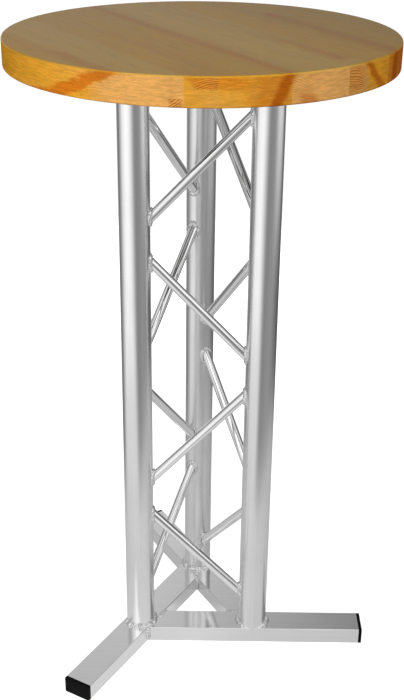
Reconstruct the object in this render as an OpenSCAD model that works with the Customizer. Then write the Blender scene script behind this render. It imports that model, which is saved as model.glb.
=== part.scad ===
// Round pub table: a glued pine top, screwed to a plate on a welded triangular aluminium truss,
// which stands on three flat tubes laid out as a pinwheel.
// The origin is on the floor under the middle of the top, with +Z up and the square-on face towards -Y.

/* [Whole table] */
// Height from the floor to the upper face of the top
table_h = 1082; // [950:1:1200]

/* [Wooden top] */
// Diameter of the round top
top_d = 600; // [520:5:700]
// Thickness of the top
top_t = 42; // [38:1:50]
// Radius that softens the rim above and below
rim_r = 3; // [1:0.5:6]
// Width of one glued stave, as a share of the top's diameter
stave_share = 0.157; // [0.145:0.001:0.17]
// Distance of the middle stave's centre line from the middle of the top
stave_shift = 3; // [-8:1:8]
// Direction in which the staves run, in degrees from +X
stave_angle = -58; // [-90:1:90]

/* [Truss] */
// Distance between the centre lines of two posts
post_spacing = 205; // [190:1:230]
// Outer diameter of a post tube
post_d = 50; // [44:1:56]
// Wall of a post tube
post_wall = 3; // [2:0.5:5]
// Outer diameter of a brace tube
brace_d = 16; // [12:1:20]
// Wall of a brace tube
brace_wall = 2; // [1.5:0.5:3]
// Height above the base at which the lowest braces meet a post's centre line
brace_foot_gap = 42; // [36:1:60]
// Gap between two braces of a face where they meet a post's centre line
brace_gap = 22; // [10:1:30]
// Distance under the plate at which the highest braces meet a post's centre line
brace_head_gap = 36; // [32:1:60]

/* [Base] */
// Height of a base tube
bar_h = 30; // [24:1:40]
// Wall of a base tube
bar_wall = 3; // [2:0.5:4]
// Outer corner radius of a base tube
bar_corner_r = 1.5; // [0.5:0.5:3]
// Length of a foot, from its post's centre line to the end of the tube
foot_reach = 195; // [150:1:240]

/* [End plugs] */
// Thickness of the flange that covers the end of a foot
plug_flange_t = 6; // [3:0.5:8]
// Depth of the plug's sleeve inside the tube
plug_depth = 24; // [15:1:40]
// Wall of the plug's sleeve
plug_wall = 2; // [1.5:0.5:3]
// Thickness of a grip rib round the sleeve
plug_rib_t = 1.5; // [1:0.5:2]
// Number of grip ribs round the sleeve
plug_ribs = 3; // [1:1:4]

/* [Plate under the top] */
// Diameter of the plate
plate_d = 360; // [340:2:420]
// Thickness of the plate
plate_t = 6; // [5:0.5:10]
// Distance from a screw's centre to the plate's rim
screw_edge = 15; // [10:1:20]
// Angle between the two screws over one face of the truss
screw_pair_angle = 40; // [30:1:50]

/* [Wood screws] */
// Shank diameter
screw_d = 5; // [4:0.5:6]
// Length under the head
screw_l = 35; // [28:1:38]
// Head diameter
screw_head_d = 10; // [9:0.5:12]
// Head height
screw_head_h = 3.5; // [2.5:0.5:5]
// Length of the pointed tip
screw_tip_l = 6; // [4:0.5:8]

/* [Welds] */
// Leg of the bead round a post's foot and head
post_weld = 6; // [3:0.5:8]
// Leg of the bead round a brace's end
brace_weld = 4; // [2:0.5:6]
// Leg of the upright bead in a corner of the base
corner_weld = 5; // [3:0.5:7]
// Half width of the flat bead on top of a corner of the base
seam_half_w = 4; // [3:0.5:6]
// Height of that bead above the tubes
seam_crown = 1.2; // [0.5:0.1:2]

/* [Hidden] */
$fn = 96;
// All cuts run past the face that they open by this much
overrun = 2;
// The sleeve of a plug is this much smaller than the tube's inside, on each side
plug_clearance = 0.6;
// The ribs stand this much clear of the tube's inside
rib_clearance = 0.1;
// Radial room for a screw in its plate hole, and in its pilot hole
hole_clearance = 0.5;
pilot_clearance = 0.05;
// The pilot hole runs past the tip by this much
pilot_extra = 1;
// Cross recess in a screw head: its span, its slot and its depth
recess_span = 5;
recess_w = 1.2;
recess_depth = 2;
// A head's dome starts this far under its crown
dome_h = 1.5;
// The upright beads stop this far above the floor
corner_weld_lift = 2;
// The flat bead on top of a corner runs this far over the upright beads
seam_overlap = 3;
// The bead round a post's foot stays off the side where the post is flush with its tube
flush_gap_angle = 70;

stave_count = 7;
brace_count = 4;
face_angle = 120;
mitre_angle = face_angle / 2;
faces = ["front", "rear_right", "rear_left"];
wood_tones = ["#d9a45c", "#dda862", "#cf9850", "#dcaa66", "#d39d56", "#dba760", "#cd954c"];
metal_tone = "#c9ccd0";
weld_tone = "#b4b8bd";
plug_tone = "#1c1d1f";
screw_tone = "#d6cda8";

top_z = table_h - top_t;
plate_z = top_z - plate_t;
post_l = plate_z - bar_h;
post_r = post_d / 2;
// A post stands flush on its base tube, which is just as wide
bar_w = post_d;
// The front tube's centre line runs through the front posts' centres
front_y = -post_spacing / 2 / sqrt(3);
left_x = -post_spacing / 2;
right_x = post_spacing / 2;
bar_end_x = right_x + foot_reach;
// Where the front tube's mitre meets its outer side and its inner side
mitre_outer_x = left_x + (bar_w / 2 - bar_w / 2 * cos(mitre_angle)) / sin(mitre_angle);
mitre_inner_x = left_x + (bar_w / 2 + bar_w / 2 * cos(mitre_angle)) / sin(mitre_angle);
// The braces of a face share what the gaps leave of the posts
brace_rise = (post_l - brace_foot_gap - brace_head_gap - (brace_count - 1) * brace_gap) / brace_count;
brace_pitch = brace_rise + brace_gap;
brace_l = norm([post_spacing, brace_rise]);
brace_tilt = atan2(post_spacing, brace_rise);
// A round crown with this radius is seam_crown high and twice seam_half_w wide
seam_r = (seam_half_w * seam_half_w + seam_crown * seam_crown) / (2 * seam_crown);
stave_w = top_d * stave_share;
stave_middle = (stave_count + 1) / 2;
screw_circle_d = plate_d - 2 * screw_edge;
// Along the mitre, from where the post's side is flush with it: the inner corner, and the foot bead
mitre_reach = bar_w / 2 * tan(mitre_angle);
foot_bead_reach = sqrt(pow(post_r + post_weld, 2) - pow(bar_w / 2 - seam_half_w, 2));

// The disc of the whole top, before it is divided into staves
module top_blank() {
    rotate_extrude($fn = 240) {
        square([top_d / 2 - rim_r, top_t]);
        translate([0, rim_r])
            square([top_d / 2, top_t - 2 * rim_r]);
        for (z = [rim_r, top_t - rim_r])
            translate([top_d / 2 - rim_r, z])
                circle(rim_r);
    }
}

// Puts its child at each screw, with the face of the plate's underside at zero height
module at_screws() {
    for (face = [0 : 2], side = [-1, 1])
        rotate(face * face_angle - 90 + side * screw_pair_angle / 2)
            translate([screw_circle_d / 2, 0, plate_z])
                children();
}

// One glued stave of the top; the two outer staves take all that is left of the disc
module stave(i) {
    reach = top_d / 2 + overrun;
    low = i == 1 ? -reach : (i - stave_middle - 0.5) * stave_w + stave_shift;
    high = i == stave_count ? reach : (i - stave_middle + 0.5) * stave_w + stave_shift;
    color(wood_tones[i - 1])
        difference() {
            intersection() {
                translate([0, 0, top_z])
                    top_blank();
                rotate(stave_angle)
                    translate([-reach, low, top_z - overrun])
                        cube([2 * reach, high - low, top_t + 2 * overrun]);
            }
            at_screws()
                cylinder(h = screw_l + pilot_extra, d = screw_d + 2 * pilot_clearance);
        }
}

// Round plate welded on the posts, with a hole for each screw
module top_plate() {
    color(metal_tone)
        difference() {
            translate([0, 0, plate_z])
                cylinder(h = plate_t, d = plate_d, $fn = 180);
            at_screws()
                translate([0, 0, -overrun])
                    cylinder(h = plate_t + 2 * overrun, d = screw_d + 2 * hole_clearance);
        }
}

// Domed wood screw that points up, with a cross recess in its head
module wood_screw() {
    dome_r = (pow(screw_head_d / 2, 2) + dome_h * dome_h) / (2 * dome_h);
    cylinder(h = screw_l - screw_tip_l, d = screw_d);
    translate([0, 0, screw_l - screw_tip_l])
        cylinder(h = screw_tip_l, d1 = screw_d, d2 = 0);
    difference() {
        intersection() {
            translate([0, 0, -screw_head_h])
                cylinder(h = screw_head_h, d = screw_head_d);
            translate([0, 0, dome_r - screw_head_h])
                sphere(dome_r);
        }
        for (turn = [0, 90])
            rotate(turn)
                translate([-recess_span / 2, -recess_w / 2, -screw_head_h - overrun])
                    cube([recess_span, recess_w, recess_depth + overrun]);
    }
}

module top_screws() {
    color(screw_tone)
        at_screws()
            wood_screw();
}

// Puts its child at the right post's foot, turned on by whole thirds for the other two posts
module at_post(face) {
    rotate(face * face_angle)
        translate([right_x, front_y, bar_h])
            children();
}

// Upright truss tube; face 0 is the right post, 1 the rear post and 2 the left post
module post(face) {
    color(metal_tone)
        at_post(face)
            difference() {
                cylinder(h = post_l, d = post_d);
                translate([0, 0, -overrun])
                    cylinder(h = post_l + 2 * overrun, d = post_d - 2 * post_wall);
            }
}

module left_post() {
    post(2);
}

module right_post() {
    post(0);
}

module rear_post() {
    post(1);
}

// Solid posts on both sides of a face, which cut the ends of what is welded to them
module face_posts(d) {
    for (x = [left_x, right_x])
        translate([x, front_y, bar_h])
            cylinder(h = post_l, d = d);
}

// Round bar along a brace's centre line; the braces of a face zigzag, the first one at the top
module brace_line(i, d) {
    lean = i % 2 == 1 ? 1 : -1;
    translate([-lean * post_spacing / 2, front_y, bar_h + brace_foot_gap + (brace_count - i) * brace_pitch])
        rotate([0, lean * brace_tilt, 0])
            cylinder(h = brace_l, d = d);
}

// Brace tube with both ends cut to the round of the posts
module brace(face, i) {
    color(metal_tone)
        rotate(face * face_angle)
            difference() {
                brace_line(i, brace_d);
                brace_line(i, brace_d - 2 * brace_wall);
                face_posts(post_d);
            }
}

// Collars of weld metal that follow the joint line of every brace with its posts
module brace_welds() {
    color(weld_tone)
        for (face = [0 : 2], i = [1 : brace_count])
            rotate(face * face_angle)
                difference() {
                    intersection() {
                        brace_line(i, brace_d + 2 * brace_weld);
                        face_posts(post_d + 2 * brace_weld);
                    }
                    brace_line(i, brace_d);
                    face_posts(post_d);
                }
}

// Solid outline of the front tube, from inside its neighbour to x
module bar_outline(x, inset, corner_r) {
    w = bar_w - 2 * inset;
    h = bar_h - 2 * inset;
    translate([left_x, front_y, bar_h / 2])
        rotate([90, 0, 90])
            linear_extrude(x - left_x)
                rounded_rectangle(w, h, corner_r);
}

module rounded_rectangle(w, h, r) {
    square([w - 2 * r, h], center = true);
    square([w, h - 2 * r], center = true);
    for (x = [-1, 1], y = [-1, 1])
        translate([x * (w / 2 - r), y * (h / 2 - r)])
            circle(r, $fn = 32);
}

// The space of the neighbour that the front tube butts against, and all beyond it
module neighbour_space() {
    rotate(-face_angle)
        translate([left_x, front_y - bar_w / 2, -overrun])
            cube([bar_end_x - left_x, bar_w, bar_h + 2 * overrun]);
}

// Base tube from its mitre at one post, under the next post, to the end of the foot
module base_tube(face) {
    color(metal_tone)
        rotate(face * face_angle)
            difference() {
                bar_outline(bar_end_x, 0, bar_corner_r);
                bar_outline(bar_end_x + overrun, bar_wall, bar_corner_r / 2);
                neighbour_space();
            }
}

module front_base_tube() {
    base_tube(0);
}

module rear_base_tube() {
    base_tube(1);
}

module left_base_tube() {
    base_tube(2);
}

// Plastic plug with a flange over the tube's end and a ribbed sleeve inside it
module end_plug(face) {
    sleeve_w = bar_w - 2 * bar_wall - 2 * plug_clearance;
    sleeve_h = bar_h - 2 * bar_wall - 2 * plug_clearance;
    rib_grow = 2 * (plug_clearance - rib_clearance);
    rib_step = plug_depth / (plug_ribs + 1);
    color(plug_tone)
        rotate(face * face_angle)
            translate([bar_end_x, front_y, bar_h / 2])
                rotate([90, 0, 90]) {
                    linear_extrude(plug_flange_t)
                        rounded_rectangle(bar_w, bar_h, bar_corner_r);
                    translate([0, 0, -plug_depth])
                        linear_extrude(plug_depth)
                            difference() {
                                square([sleeve_w, sleeve_h], center = true);
                                square([sleeve_w - 2 * plug_wall, sleeve_h - 2 * plug_wall], center = true);
                            }
                    for (i = [1 : plug_ribs])
                        translate([0, 0, -i * rib_step - plug_rib_t / 2])
                            linear_extrude(plug_rib_t)
                                difference() {
                                    square([sleeve_w + rib_grow, sleeve_h + rib_grow], center = true);
                                    square([sleeve_w - plug_wall, sleeve_h - plug_wall], center = true);
                                }
                }
}

module right_end_plug() {
    end_plug(0);
}

module rear_end_plug() {
    end_plug(1);
}

module left_end_plug() {
    end_plug(2);
}

// Ring of weld metal with equal legs, on the floor of its frame, round a post
module post_bead(angle) {
    rotate_extrude(angle = angle)
        polygon([[post_r, 0], [post_r + post_weld, 0], [post_r, post_weld]]);
}

module plate_welds() {
    color(weld_tone)
        for (face = [0 : 2])
            at_post(face)
                translate([0, 0, post_l])
                    mirror([0, 0, 1])
                        post_bead(360);
}

module foot_welds() {
    color(weld_tone)
        for (face = [0 : 2])
            at_post(face)
                rotate(flush_gap_angle / 2 - 90)
                    post_bead(360 - flush_gap_angle);
}

// Round of weld metal in the corner at x, y, less the two tubes that meet there
module corner_bead(x, y) {
    translate([0, 0, corner_weld_lift])
        linear_extrude(bar_h - corner_weld_lift)
            difference() {
                translate([x, y])
                    circle(corner_weld);
                for (turn = [0, -face_angle])
                    rotate(turn)
                        translate([left_x, front_y - bar_w / 2])
                            square([bar_end_x - left_x, bar_w]);
            }
}

// Low crowned bead on top of the mitre, from over the inner upright bead to the bead round the post's foot
module seam_bead() {
    translate([mitre_inner_x, front_y + bar_w / 2, bar_h])
        rotate([90, 0, mitre_angle - 90])
            translate([0, 0, -seam_overlap])
                linear_extrude(mitre_reach - foot_bead_reach + seam_overlap)
                    intersection() {
                        translate([0, seam_crown - seam_r])
                            circle(seam_r);
                        translate([-seam_r, 0])
                            square([2 * seam_r, seam_r]);
                    }
}

// Beads in both upright corners of each mitre
module corner_welds() {
    color(weld_tone)
        for (face = [0 : 2])
            rotate(face * face_angle) {
                corner_bead(mitre_outer_x, front_y - bar_w / 2);
                corner_bead(mitre_inner_x, front_y + bar_w / 2);
            }
}

module seam_welds() {
    color(weld_tone)
        for (face = [0 : 2])
            rotate(face * face_angle)
                seam_bead();
}

for (i = [1 : stave_count])
    stave(i);
top_plate();
top_screws();
left_post();
right_post();
rear_post();
for (face = [0 : 2], i = [1 : brace_count])
    brace(face, i);
front_base_tube();
rear_base_tube();
left_base_tube();
right_end_plug();
rear_end_plug();
left_end_plug();
plate_welds();
brace_welds();
foot_welds();
corner_welds();
seam_welds();
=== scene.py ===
import math

import bmesh
import bpy
import numpy as np
from mathutils import Matrix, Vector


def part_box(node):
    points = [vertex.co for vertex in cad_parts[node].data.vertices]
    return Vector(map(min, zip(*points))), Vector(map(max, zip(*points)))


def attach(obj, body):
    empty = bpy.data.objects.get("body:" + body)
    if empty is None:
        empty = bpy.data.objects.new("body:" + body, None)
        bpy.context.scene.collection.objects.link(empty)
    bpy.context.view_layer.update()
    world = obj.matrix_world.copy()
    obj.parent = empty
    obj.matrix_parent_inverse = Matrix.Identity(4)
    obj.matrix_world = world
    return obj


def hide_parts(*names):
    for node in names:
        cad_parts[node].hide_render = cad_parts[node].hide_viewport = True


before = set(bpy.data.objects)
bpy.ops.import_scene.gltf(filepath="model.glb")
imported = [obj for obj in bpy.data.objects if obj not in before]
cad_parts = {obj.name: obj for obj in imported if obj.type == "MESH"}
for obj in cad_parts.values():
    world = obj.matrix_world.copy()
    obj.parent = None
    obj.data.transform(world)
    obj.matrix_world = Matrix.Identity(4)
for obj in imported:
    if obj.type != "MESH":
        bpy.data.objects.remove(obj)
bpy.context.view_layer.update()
print("pub table: frame loaded")

# Sizes that several pieces share, in metres
truss = {
    "postSpacing": 0.205,
    "postRadius": 0.025,
    "postWall": 0.003,
    "braceRadius": 0.008,
    "braceWall": 0.002,
    "braceCount": 4,
    "braceFootGap": 0.042,   # over the base, on a post's centre line
    "braceGap": 0.022,
    "braceHeadGap": 0.036,   # under the plate
    "footReach": 0.195,
    "tubeWidth": 0.050,
}
thirdTurn = math.radians(120)
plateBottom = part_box("top_plate")[0][2]
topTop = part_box("stave_4")[1][2]
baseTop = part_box("front_base_tube")[1][2]
rightX = truss["postSpacing"] / 2
leftX = -rightX
frontY = -truss["postSpacing"] / (2 * math.sqrt(3))
braceRise = (plateBottom - baseTop - truss["braceFootGap"] - truss["braceHeadGap"]
             - (truss["braceCount"] - 1) * truss["braceGap"]) / truss["braceCount"]
faceNames = ["front", "rear_right", "rear_left"]


# Mesh helpers
def turnPoints(points, angle):
    # x' = x cos a - y sin a, y' = x sin a + y cos a
    c, s = math.cos(angle), math.sin(angle)
    return points @ np.array([[c, s, 0], [-s, c, 0], [0, 0, 1]])


def gridFaces(rows, cols, start, wrapRows):
    # quad (i, j) = points (i, j), (i+1, j), (i+1, j+1), (i, j+1), with j counted round the section
    i = np.arange(rows if wrapRows else rows - 1)[:, None]
    j = np.arange(cols)[None, :]
    ni, nj = (i + 1) % rows, (j + 1) % cols
    quads = np.stack([i * cols + j, ni * cols + j, ni * cols + nj, i * cols + nj], axis=-1)
    return (start + quads.reshape(-1, 4)).tolist()


def shellPiece(name, grids, wrapRows, material, node, sharp=35, grain=None):
    # closed skins in place of a node; each grid is an array (row along the path, point round the closed
    # section, xyz), and sharp is the angle in degrees from which an edge shows
    vertices, faces, count = [], [], 0
    for grid in grids:
        rows, cols = grid.shape[:2]
        faces += gridFaces(rows, cols, count, wrapRows)
        if not wrapRows:   # an open path is closed by one face at each end
            faces += [list(range(count, count + cols)),
                      list(range(count + (rows - 1) * cols, count + rows * cols))]
        vertices.append(grid.reshape(-1, 3))
        count += rows * cols
    mesh = bpy.data.meshes.new(name)
    mesh.from_pydata(np.concatenate(vertices).tolist(), [], faces)
    if grain is not None:   # where a point lies in the tube's own frame, for lines along the tube
        values = np.concatenate([g.reshape(-1, 3) for g in grain]).astype(np.float32)
        mesh.attributes.new("grain", "FLOAT_VECTOR", "POINT").data.foreach_set("vector", values.ravel())
    work = bmesh.new()
    work.from_mesh(mesh)
    bmesh.ops.recalc_face_normals(work, faces=work.faces)
    work.to_mesh(mesh)
    work.free()
    mesh.shade_smooth()
    mesh.set_sharp_from_angle(angle=math.radians(sharp))
    mesh.materials.append(material)
    piece = bpy.data.objects.new(name, mesh)
    bpy.context.scene.collection.objects.link(piece)
    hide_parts(node)
    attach(piece, "root")


def dressNode(node, material):
    # a CAD node keeps its shape and takes the material in every slot
    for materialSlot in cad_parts[node].material_slots:
        materialSlot.material = material


# Shader helpers
colourMix = {"factor": 0, "a": 6, "b": 7, "result": 2}   # the sockets of a Mix node set to colour


def newMaterial(name):
    # a material with nothing in it but its output
    material = bpy.data.materials.new(name)
    material.use_nodes = True
    nodes = material.node_tree.nodes
    nodes.clear()
    output = nodes.new("ShaderNodeOutputMaterial")
    return material, material.node_tree, output


def addNode(tree, kind, inputs=None, **settings):
    # an input given as a socket is linked, and any other is set
    node = tree.nodes.new(kind)
    for key, value in settings.items():
        setattr(node, key, value)
    for key, value in (inputs or {}).items():
        if isinstance(value, bpy.types.NodeSocket):
            tree.links.new(value, node.inputs[key])
        else:
            node.inputs[key].default_value = value
    return node


def calc(tree, operation, a, b=0.0, c=0.0, clamp=False):
    # one sum of up to three values, such as a b + c for MULTIPLY_ADD
    node = addNode(tree, "ShaderNodeMath", {0: a, 1: b, 2: c}, operation=operation, use_clamp=clamp)
    return node.outputs[0]


def mix(tree, share, a, b):
    # a + share (b - a)
    return calc(tree, "MULTIPLY_ADD", share, calc(tree, "SUBTRACT", b, a), a)


def smooth(tree, value, low, high, toLow=0.0, toHigh=1.0):
    # toLow up to low, toHigh from high on, and t t (3 - 2 t) between them
    node = addNode(tree, "ShaderNodeMapRange",
                   {"Value": value, "From Min": low, "From Max": high, "To Min": toLow, "To Max": toHigh},
                   interpolation_type="SMOOTHSTEP")
    return node.outputs["Result"]


def ramp(tree, value, stops):
    # straight from each (position, colour) to the next
    node = addNode(tree, "ShaderNodeValToRGB", {"Fac": value})
    elements = node.color_ramp.elements
    while len(elements) < len(stops):
        elements.new(0.5)
    for element, (position, colour) in zip(elements, stops):
        element.position = position
        element.color = (*colour, 1)
    return node.outputs["Color"]


def blendColour(tree, factor, a, b, mode="MIX"):
    # a + factor (b' - a), where b' is b, or a times b for MULTIPLY
    node = addNode(tree, "ShaderNodeMix", data_type="RGBA", blend_type=mode)
    for key, value in (("factor", factor), ("a", a), ("b", b)):
        socket = node.inputs[colourMix[key]]
        if isinstance(value, bpy.types.NodeSocket):
            tree.links.new(value, socket)
        else:
            socket.default_value = value if key == "factor" else (*value, 1)
    return node.outputs[colourMix["result"]]


def noise(tree, vector, scale, detail, roughness=0.5, distortion=0.0):
    # soft random values round a half
    node = addNode(tree, "ShaderNodeTexNoise",
                   {"Vector": vector, "Scale": scale, "Detail": detail, "Roughness": roughness,
                    "Distortion": distortion})
    return node.outputs["Fac"]


def placed(tree, vector, move=(0, 0, 0), turn=(0, 0, 0), scale=(1, 1, 1)):
    # the vector scaled, then turned, then moved
    node = addNode(tree, "ShaderNodeMapping",
                   {"Vector": vector, "Location": move, "Rotation": turn, "Scale": scale})
    return node.outputs["Vector"]


def objectPlace(tree):
    # Object coordinates, which every pattern but the tubes' own grain reads
    return addNode(tree, "ShaderNodeTexCoord").outputs["Object"]


def finishSurface(tree, output, look, height, inputs):
    # the shader, raised by height times the look's depth and joined to the output
    bump = addNode(tree, "ShaderNodeBump",
                   {"Height": height, "Strength": look["bump"], "Distance": look["depth"]})
    shader = addNode(tree, "ShaderNodeBsdfPrincipled", {**inputs, "Normal": bump.outputs[0]})
    tree.links.new(shader.outputs[0], output.inputs["Surface"])


# Camera, at the photograph's viewing angle
cameraLook = {
    "place": (0.01192, -1.78432, 1.40497),
    "yaw": 0.0039,
    "pitch": 0.4454,
    "roll": -0.0109,
    "lens": 59.80,
    "sensor": 36,
    "clipEnd": 50,
}


def addCamera(look):
    # forward f from yaw and pitch, right r level, down d = f x r, both turned by roll about f
    cy, sy = math.cos(look["yaw"]), math.sin(look["yaw"])
    cp, sp = math.cos(look["pitch"]), math.sin(look["pitch"])
    forward = np.array([-sy * cp, cy * cp, -sp])
    right = np.array([cy, sy, 0])
    down = np.cross(forward, right)
    cr, sr = math.cos(look["roll"]), math.sin(look["roll"])
    right, down = cr * right + sr * down, -sr * right + cr * down
    data = bpy.data.cameras.new("camera")
    data.lens = look["lens"]
    data.sensor_width = look["sensor"]
    data.clip_end = look["clipEnd"]
    camera = bpy.data.objects.new("camera", data)
    turn = np.array([right, -down, -forward]).T
    camera.matrix_world = Matrix.Translation(look["place"]) @ Matrix(turn.tolist()).to_4x4()
    bpy.context.scene.collection.objects.link(camera)
    bpy.context.scene.camera = camera


addCamera(cameraLook)
print("pub table: camera placed")

# Studio: pale floor, soft lamps, and the bright and dark cards that metal reflects
studio = {
    "background": 1.0,
    "fill": 0.21,                    # even light from the room
    "lamps": [
        {"name": "key_lamp", "bearing": -11, "distance": 2.1, "height": 1.45, "size": (1.3, 0.9),
         "watts": 32},
        {"name": "fill_lamp", "bearing": 66, "distance": 2.4, "height": 1.40, "size": (1.0, 0.8),
         "watts": 12},
        # low enough behind the table that its light stays off the upper face
        {"name": "back_lamp", "bearing": 180, "distance": 2.3, "height": 0.66, "size": (2.2, 0.7),
         "watts": 20},
    ],
    "floorHalf": 8.0,
    "floorBounce": 0.22,
    "floorShadow": 0.80,             # the part of the camera's floor that takes the table's shadow
    "floorLift": 0.86,               # and the glow under it that keeps the rest white
    # what metal sees in the floor near the table: its mean, its swing round the table, the swing's bearing
    "nearShine": (0.59, 0.13, 15),
    "nearFloor": (0.42, 0.86),       # how far out that floor turns into the cards
    "nearPull": (0.36, 105),         # round this bearing it reaches further out, by this share
    # the cards beyond it, by bearing from the camera's side, positive to the right
    "cards": [(-180, 0.85), (-160, 0.80), (-146, 0.36), (-130, 0.15), (-112, 0.25), (-95, 0.56),
              (-78, 0.92), (-55, 1.16), (-32, 1.10), (-18, 0.86), (-8, 0.60), (1, 0.38), (7, 0.28),
              (14, 0.25), (22, 0.27), (34, 0.29), (48, 0.31), (66, 0.29), (84, 0.22), (100, 0.16),
              (120, 0.11), (145, 0.12), (162, 0.35), (180, 0.85)],
    # the brightest that a card may be near the table and far off, and the distances of the change
    "cardLimit": {"near": 0.76, "far": 1.2, "from": (0.9, 2.0)},
    # a second soft box far off: its bearing, half width full and faded, brightness and distances
    "farWindow": {"bearing": 88, "half": (8, 46), "level": 0.60, "from": (1.9, 3.6)},
    # what stands round the room over the floor: bearing, half width full and faded, sine of the
    # height where it starts and where it ends (none and full), and its brightness
    "panels": [
        {"bearing": -40, "half": (0, 78), "foot": (-1.0, -0.9), "head": (0.95, 0.66), "level": 0.84},
        {"bearing": 60, "half": (10, 47), "foot": (0.04, 0.30), "head": (0.85, 0.60), "level": 0.90},
        {"bearing": -160, "half": (0, 64), "foot": (-1.0, -0.9), "head": (0.26, 0.06), "level": 0.80},
        {"bearing": -4, "half": (12, 50), "foot": (0.54, 0.62), "head": (0.98, 0.85), "level": 0.50},
        # the ceiling, which only faces turned upwards mirror
        {"bearing": 0, "half": (180, 181), "foot": (0.70, 0.84), "head": (1.2, 1.1), "level": 0.70},
    ],
    "walls": 0.15,
    # over the back: its level, slope to the right, least and most, its slope upwards from a height, and
    # where it starts, upwards and towards the back
    "sky": {"level": 0.50, "slope": -1.85, "least": 0.25, "most": 0.56, "rise": -1.2, "riseFrom": 0.62,
            "riseLeast": -0.1, "foot": (0.30, 0.60), "behind": (-0.2, 0.5)},
}


def bearingOf(tree, x, y):
    # atan2(x, -y): 0 towards the camera, positive to its right
    return calc(tree, "ARCTAN2", x, calc(tree, "MULTIPLY", y, -1.0))


def awayFrom(tree, bearing, middle):
    # angle between bearing and middle, the short way round
    away = calc(tree, "ABSOLUTE", calc(tree, "SUBTRACT", bearing, math.radians(middle)))
    return calc(tree, "MINIMUM", away, calc(tree, "SUBTRACT", 2 * math.pi, away))


def softBox(tree, bearing, look):
    # level within the inner half width of the look's bearing, fading to none at the outer
    inner, outer = (math.radians(angle) for angle in look["half"])
    return smooth(tree, awayFrom(tree, bearing, look["bearing"]), inner, outer, look["level"], 0.0)


def farShine(tree, bearing, radius):
    # min(cards(bearing), limit(radius)) + window(bearing) far(radius)
    share = calc(tree, "MULTIPLY_ADD", bearing, 1 / (2 * math.pi), 0.5)
    brightest = max(level for angle, level in studio["cards"])
    stops = [((angle + 180) / 360, (level / brightest,) * 3) for angle, level in studio["cards"]]
    cards = calc(tree, "MULTIPLY", ramp(tree, share, stops), brightest)
    limit = studio["cardLimit"]
    cards = calc(tree, "MINIMUM", cards, smooth(tree, radius, *limit["from"], limit["near"], limit["far"]))
    window = studio["farWindow"]
    return calc(tree, "MULTIPLY_ADD", softBox(tree, bearing, window), smooth(tree, radius, *window["from"]),
                cards)


def floorShine(tree, x, y, radius):
    # near(bearing) = mean + swing cos(bearing + side) out to the reach, and the far floor beyond it
    bearing = bearingOf(tree, x, y)
    mean, swing, side = studio["nearShine"]
    near = calc(tree, "COSINE", calc(tree, "ADD", bearing, math.radians(side)))
    near = calc(tree, "MULTIPLY_ADD", near, swing, mean)
    # reach = radius (1 - pull max(0, cos(bearing - middle)) ^ 2)
    pull, middle = studio["nearPull"]
    lean = calc(tree, "COSINE", calc(tree, "SUBTRACT", bearing, math.radians(middle)))
    lean = calc(tree, "MAXIMUM", lean, 0.0)
    reach = calc(tree, "MULTIPLY_ADD", calc(tree, "MULTIPLY", lean, lean), -pull, 1.0)
    reach = calc(tree, "MULTIPLY", radius, reach)
    return mix(tree, smooth(tree, reach, *studio["nearFloor"]), near, farShine(tree, bearing, radius))


def roomPanels(tree, x, y, z):
    # walls + sum of box(bearing) * foot(z) * head(z), and over the back a sky in place of the walls:
    # level + slope x, held between least and most, + rise (z - riseFrom)
    bearing = bearingOf(tree, x, y)
    look = studio["sky"]
    sky = calc(tree, "MULTIPLY_ADD", x, look["slope"], look["level"])
    sky = calc(tree, "MINIMUM", calc(tree, "MAXIMUM", sky, look["least"]), look["most"])
    higher = calc(tree, "MAXIMUM", calc(tree, "SUBTRACT", z, look["riseFrom"]), look["riseLeast"])
    sky = calc(tree, "MULTIPLY_ADD", higher, look["rise"], sky)
    overBack = calc(tree, "MULTIPLY", smooth(tree, z, *look["foot"]), smooth(tree, y, *look["behind"]))
    total = mix(tree, overBack, studio["walls"], sky)
    for panel in studio["panels"]:
        foot = smooth(tree, z, *panel["foot"])
        head = smooth(tree, z, panel["head"][1], panel["head"][0], 1.0, 0.0)
        total = calc(tree, "MULTIPLY_ADD", softBox(tree, bearing, panel), calc(tree, "MULTIPLY", foot, head),
                     total)
    return total


def mirrorRay(tree, path):
    # 1 for what metal or glass sees, 0 for all else
    return calc(tree, "MAXIMUM", path["Is Glossy Ray"], path["Is Transmission Ray"])


def buildWorld():
    # the camera sees white, metal sees the room, and all else gets the even fill
    world = bpy.data.worlds.new("studio")
    bpy.context.scene.world = world
    world.use_nodes = True
    tree = world.node_tree
    tree.nodes.clear()
    path = addNode(tree, "ShaderNodeLightPath").outputs
    direction = addNode(tree, "ShaderNodeTexCoord").outputs["Generated"]
    x, y, z = addNode(tree, "ShaderNodeSeparateXYZ", {0: direction}).outputs
    strength = mix(tree, mirrorRay(tree, path), studio["fill"], roomPanels(tree, x, y, z))
    strength = mix(tree, path["Is Camera Ray"], strength, studio["background"])
    light = addNode(tree, "ShaderNodeBackground", {"Color": (1, 1, 1, 1), "Strength": strength})
    addNode(tree, "ShaderNodeOutputWorld", {"Surface": light.outputs[0]})


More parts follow.
